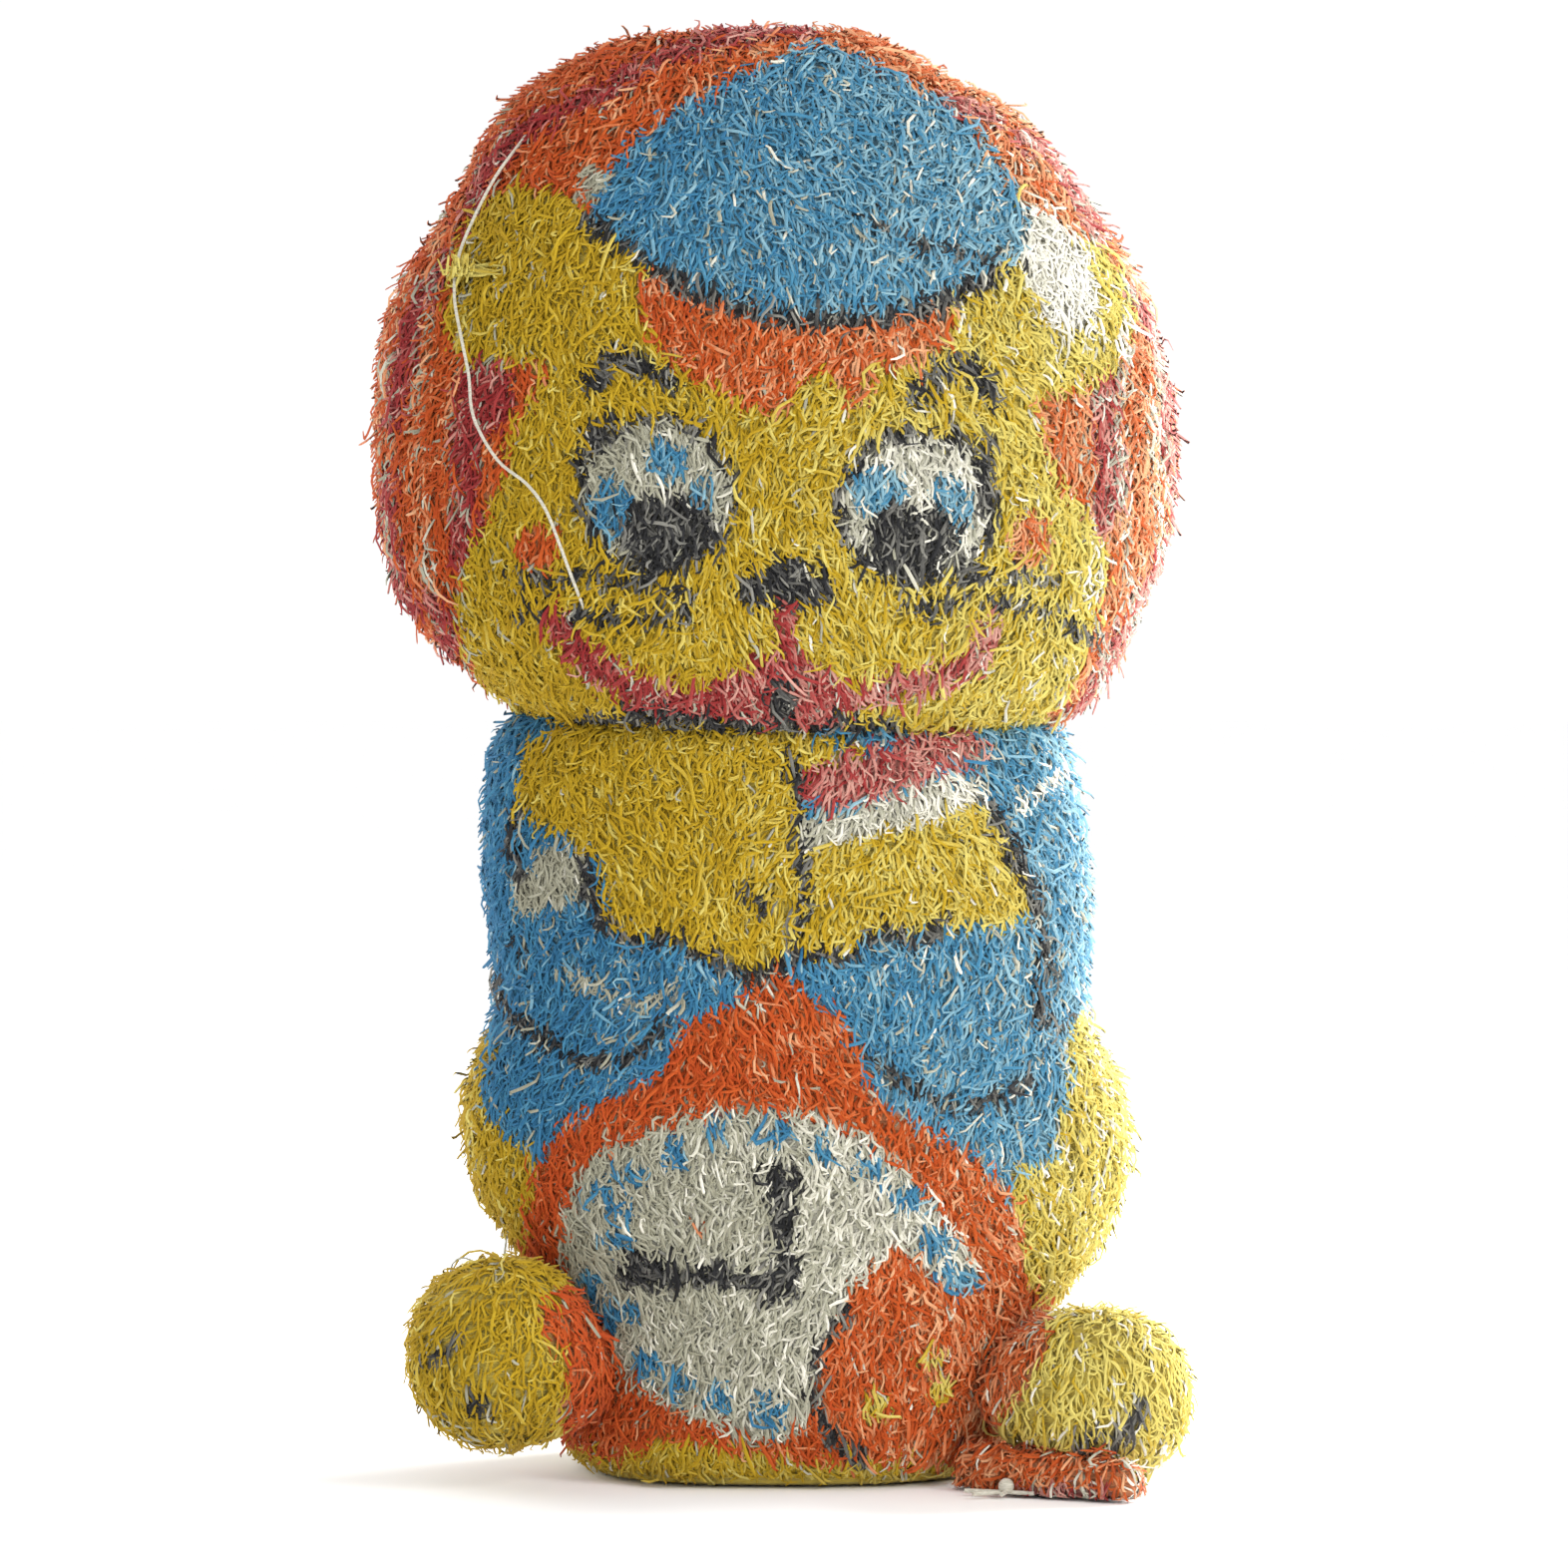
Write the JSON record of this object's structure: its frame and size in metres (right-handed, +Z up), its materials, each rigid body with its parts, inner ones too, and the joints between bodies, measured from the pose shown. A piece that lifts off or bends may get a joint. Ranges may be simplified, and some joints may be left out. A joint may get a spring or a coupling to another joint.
{
  "type": "hand puppet",
  "caption": "Hand puppet of looped terry knit: a lion cub in cap and jacket holding an alarm clock, with a nodding, turning stuffed head and stitched-on feet.",
  "frame": {"origin": "on the resting plane, under the middle of the body, which is the bottom centre of the box around the part", "axes": "+Z up, -Y the way the face looks, +X to the right as seen from in front"},
  "size_m": [0.1512, 0.0974, 0.2771],
  "materials": {
    "terry_yellow": "matte",
    "terry_orange": "matte",
    "terry_red": "matte",
    "terry_blue": "matte",
    "terry_white": "matte",
    "terry_black": "matte",
    "ground_knit": "matte",
    "stuffing": "matte",
    "lining": "matte",
    "thread": "satin",
    "card_tube": "matte"
  },
  "bodies": {
    "torso": {"body_front": "terry_blue", "body_back": "terry_blue", "side_seam_left": "thread", "side_seam_right": "thread", "padding_front": "stuffing", "padding_back": "stuffing", "hand_lining": "lining", "hem_band": "terry_yellow", "hem_stitches": "thread", "corner_flap": "terry_orange", "closing_knot": "thread"},
    "neck": {"neck_sleeve": "ground_knit", "neck_tie": "thread"},
    "head": {"head_front": "terry_yellow", "head_back": "terry_orange", "head_seam": "terry_red", "head_stuffing": "stuffing", "finger_tube": "card_tube", "snagged_tuft": "terry_yellow", "stray_thread": "thread"},
    "foot_left": {"foot_left_skin": "terry_yellow", "foot_left_stuffing": "stuffing", "foot_left_stitches": "thread"},
    "foot_right": {"foot_right_skin": "terry_yellow", "foot_right_stuffing": "stuffing", "foot_right_stitches": "thread"}
  },
  "joints": [
    {"name": "neck_nod", "type": "hinge", "parent": "torso", "child": "neck", "pos_m": [0, 0, 0.142], "axis": [1, 0, 0], "range_deg": [-12, 12], "stiffness_Nm_per_rad": 0.2},
    {"name": "neck_turn", "type": "hinge", "parent": "neck", "child": "head", "pos_m": [0, 0, 0.142], "axis": [0, 0, 1], "range_deg": [-25, 25], "stiffness_Nm_per_rad": 0.1},
    {"name": "foot_left_swing", "type": "hinge", "parent": "torso", "child": "foot_left", "pos_m": [-0.04145, -0.02255, 0.0215], "axis": [-0.5, 0.866, 0], "range_deg": [-10, 12], "stiffness_Nm_per_rad": 0.02},
    {"name": "foot_right_swing", "type": "hinge", "parent": "torso", "child": "foot_right", "pos_m": [0.04145, -0.02255, 0.0185], "axis": [-0.5, -0.866, 0], "range_deg": [-5, 12], "stiffness_Nm_per_rad": 0.02}
  ]
}
